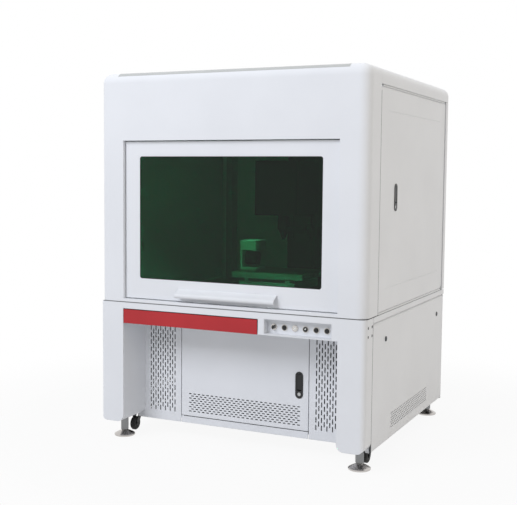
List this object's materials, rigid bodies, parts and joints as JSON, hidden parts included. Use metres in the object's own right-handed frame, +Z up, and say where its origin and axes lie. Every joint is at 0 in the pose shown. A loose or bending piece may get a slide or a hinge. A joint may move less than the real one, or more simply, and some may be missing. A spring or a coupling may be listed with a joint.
{
  "type": "laser welding machine",
  "caption": "Enclosed laser welding machine: rounded sheet-metal hood with a flip-up green window door on a cabinet base with knee space, keyboard drawer, controls, grilles, feet and casters.",
  "frame": {"origin": "middle of the box around the machine, on the floor", "axes": "+Z up, -Y out of the front with the window door, +X to the side with the side door"},
  "size_m": [1.38, 1.352, 1.808],
  "materials": {
    "white_paint": "satin powder coat",
    "grey_paint": "satin powder coat",
    "dark_paint": "satin paint",
    "red_paint": "satin paint",
    "black_paint": "satin paint",
    "black_plastic": "fine matt grain",
    "lamp_lens": "clear moulded",
    "steel": "ground",
    "polished_steel": "polished plate",
    "aluminium": "machined",
    "dark_anodised": "black anodised",
    "green_glass": "laser-safety pane",
    "wheel_rubber": "smooth tread"
  },
  "bodies": {
    "machine": {"base_frame": "grey_paint", "front_fascia": "white_paint", "knee_grilles": "white_paint", "floor_pan": "white_paint", "side_panel_right": "white_paint", "side_panel_left": "white_paint", "back_panel": "white_paint", "side_trims": "white_paint", "drawer_rails": "steel", "control_panel": "white_paint", "button_bezels": "black_plastic", "metal_bezels": "polished_steel", "pilot_lamp": "lamp_lens", "bracket_nuts": "steel", "levelling_feet": "polished_steel", "laser_source": "dark_paint", "control_unit": "grey_paint", "work_deck": "steel", "hood_frame": "grey_paint", "hood_front": "white_paint", "top_strip": "grey_paint", "hood_roof": "white_paint", "hood_back_panel": "white_paint", "hood_side_left": "white_paint", "stage_base": "dark_paint", "z_column": "dark_paint"},
    "front_door": {"front_door": "white_paint", "window_pane": "green_glass", "door_handle": "white_paint"},
    "strut_cylinders": {"strut_cylinders": "black_paint"},
    "strut_rods": {"strut_rods": "polished_steel"},
    "lower_door": {"lower_door": "white_paint", "lower_lock_body": "black_plastic"},
    "lower_lock_lever": {"lower_lock_lever": "black_plastic"},
    "lower_lock_button": {"lower_lock_button": "steel"},
    "side_door": {"side_door": "white_paint", "side_lock_body": "black_plastic"},
    "side_lock_lever": {"side_lock_lever": "black_plastic"},
    "side_lock_button": {"side_lock_button": "steel"},
    "drawer": {"keyboard_tray": "white_paint", "drawer_front": "red_paint"},
    "key_switch": {"key_switch": "steel"},
    "power_button": {"power_button": "black_plastic"},
    "mode_selector": {"mode_selector": "black_plastic"},
    "start_button": {"start_button": "black_plastic"},
    "stop_button": {"stop_button": "black_plastic"},
    "panel_lock_front": {"panel_lock_front": "black_plastic"},
    "panel_lock_rear": {"panel_lock_rear": "black_plastic"},
    "stage_saddle": {"stage_saddle": "aluminium"},
    "stage_table": {"stage_table": "aluminium", "work_fixture": "aluminium"},
    "welding_head": {"welding_head": "dark_anodised"},
    "caster_fork_fl": {"caster_fork_fl": "black_paint"},
    "caster_wheel_fl": {"caster_wheel_fl": "wheel_rubber"},
    "caster_fork_fr": {"caster_fork_fr": "black_paint"},
    "caster_wheel_fr": {"caster_wheel_fr": "wheel_rubber"},
    "caster_fork_rl": {"caster_fork_rl": "black_paint"},
    "caster_wheel_rl": {"caster_wheel_rl": "wheel_rubber"},
    "caster_fork_rr": {"caster_fork_rr": "black_paint"},
    "caster_wheel_rr": {"caster_wheel_rr": "wheel_rubber"}
  },
  "joints": [
    {"name": "front_door_hinge", "type": "hinge", "parent": "machine", "child": "front_door", "pos_m": [0, -0.63, 1.473], "axis": [-1, 0, 0], "range_deg": [0, 82]},
    {"name": "strut_tilt", "type": "hinge", "parent": "machine", "child": "strut_cylinders", "pos_m": [0, -0.525, 0.953], "axis": [1, 0, 0], "range_deg": [0, 13.95]},
    {"name": "strut_extend", "type": "slide", "parent": "strut_cylinders", "child": "strut_rods", "axis": [0, -0.1575, 0.9875], "range_m": [0, 0.0838]},
    {"name": "lower_door_hinge", "type": "hinge", "parent": "machine", "child": "lower_door", "pos_m": [-0.337, -0.447, 0.345], "axis": [0, 0, -1], "range_deg": [0, 100]},
    {"name": "lower_lock_lever_hinge", "type": "hinge", "parent": "lower_door", "child": "lower_lock_lever", "pos_m": [0.296, -0.451, 0.385], "axis": [-1, 0, 0], "range_deg": [0, 25]},
    {"name": "lower_lock_button_push", "type": "slide", "parent": "lower_door", "child": "lower_lock_button", "axis": [0, 1, 0], "range_m": [0, 0.003], "stiffness_N_per_m": 400},
    {"name": "side_door_hinge", "type": "hinge", "parent": "machine", "child": "side_door", "pos_m": [0.68, 0.624, 1.26], "axis": [0, 0, 1], "range_deg": [0, 95]},
    {"name": "side_lock_lever_hinge", "type": "hinge", "parent": "side_door", "child": "side_lock_lever", "pos_m": [0.684, -0.25, 1.275], "axis": [0, -1, 0], "range_deg": [0, 25]},
    {"name": "side_lock_button_push", "type": "slide", "parent": "side_door", "child": "side_lock_button", "axis": [-1, 0, 0], "range_m": [0, 0.003], "stiffness_N_per_m": 400},
    {"name": "drawer_slide", "type": "slide", "parent": "machine", "child": "drawer", "axis": [0, -1, 0], "range_m": [0, 0.28]},
    {"name": "key_turn", "type": "hinge", "parent": "machine", "child": "key_switch", "pos_m": [0.236, -0.6145, 0.632], "axis": [0, 1, 0], "range_deg": [0, 90]},
    {"name": "power_button_push", "type": "slide", "parent": "machine", "child": "power_button", "axis": [0, 1, 0], "range_m": [0, 0.004], "stiffness_N_per_m": 500},
    {"name": "start_button_push", "type": "slide", "parent": "machine", "child": "start_button", "axis": [0, 1, 0], "range_m": [0, 0.004], "stiffness_N_per_m": 500},
    {"name": "stop_button_push", "type": "slide", "parent": "machine", "child": "stop_button", "axis": [0, 1, 0], "range_m": [0, 0.004], "stiffness_N_per_m": 500},
    {"name": "mode_turn", "type": "hinge", "parent": "machine", "child": "mode_selector", "pos_m": [0.392, -0.6145, 0.632], "axis": [0, 1, 0], "range_deg": [-90, 0]},
    {"name": "panel_lock_front_turn", "type": "hinge", "parent": "machine", "child": "panel_lock_front", "pos_m": [0.686, -0.357, 0.574], "axis": [1, 0, 0], "range_deg": [0, 90]},
    {"name": "panel_lock_rear_turn", "type": "hinge", "parent": "machine", "child": "panel_lock_rear", "pos_m": [0.686, 0.545, 0.574], "axis": [1, 0, 0], "range_deg": [0, 90]},
    {"name": "caster_swivel_fl", "type": "hinge", "parent": "machine", "child": "caster_fork_fl", "pos_m": [-0.63, -0.409, 0.097], "axis": [0, 0, 1], "continuous": true},
    {"name": "caster_roll_fl", "type": "hinge", "parent": "caster_fork_fl", "child": "caster_wheel_fl", "pos_m": [-0.63, -0.437, 0.038], "axis": [1, 0, 0], "continuous": true},
    {"name": "caster_swivel_fr", "type": "hinge", "parent": "machine", "child": "caster_fork_fr", "pos_m": [0.63, -0.409, 0.097], "axis": [0, 0, 1], "continuous": true},
    {"name": "caster_roll_fr", "type": "hinge", "parent": "caster_fork_fr", "child": "caster_wheel_fr", "pos_m": [0.63, -0.437, 0.038], "axis": [1, 0, 0], "continuous": true},
    {"name": "caster_swivel_rl", "type": "hinge", "parent": "machine", "child": "caster_fork_rl", "pos_m": [-0.505, 0.596, 0.097], "axis": [0, 0, 1], "continuous": true},
    {"name": "caster_roll_rl", "type": "hinge", "parent": "caster_fork_rl", "child": "caster_wheel_rl", "pos_m": [-0.505, 0.568, 0.038], "axis": [1, 0, 0], "continuous": true},
    {"name": "caster_swivel_rr", "type": "hinge", "parent": "machine", "child": "caster_fork_rr", "pos_m": [0.505, 0.596, 0.097], "axis": [0, 0, 1], "continuous": true},
    {"name": "caster_roll_rr", "type": "hinge", "parent": "caster_fork_rr", "child": "caster_wheel_rr", "pos_m": [0.505, 0.568, 0.038], "axis": [1, 0, 0], "continuous": true},
    {"name": "stage_x_slide", "type": "slide", "parent": "machine", "child": "stage_saddle", "axis": [1, 0, 0], "range_m": [-0.09, 0.09]},
    {"name": "stage_y_slide", "type": "slide", "parent": "stage_saddle", "child": "stage_table", "axis": [0, 1, 0], "range_m": [-0.08, 0.08]},
    {"name": "head_z_slide", "type": "slide", "parent": "machine", "child": "welding_head", "axis": [0, 0, 1], "range_m": [-0.11, 0.06]}
  ],
  "couplings": [
    {"joint": "strut_tilt", "follows": "front_door_hinge", "ratio": 0.16976},
    {"joint": "strut_extend", "follows": "front_door_hinge", "m_per_rad": 0.058386}
  ]
}
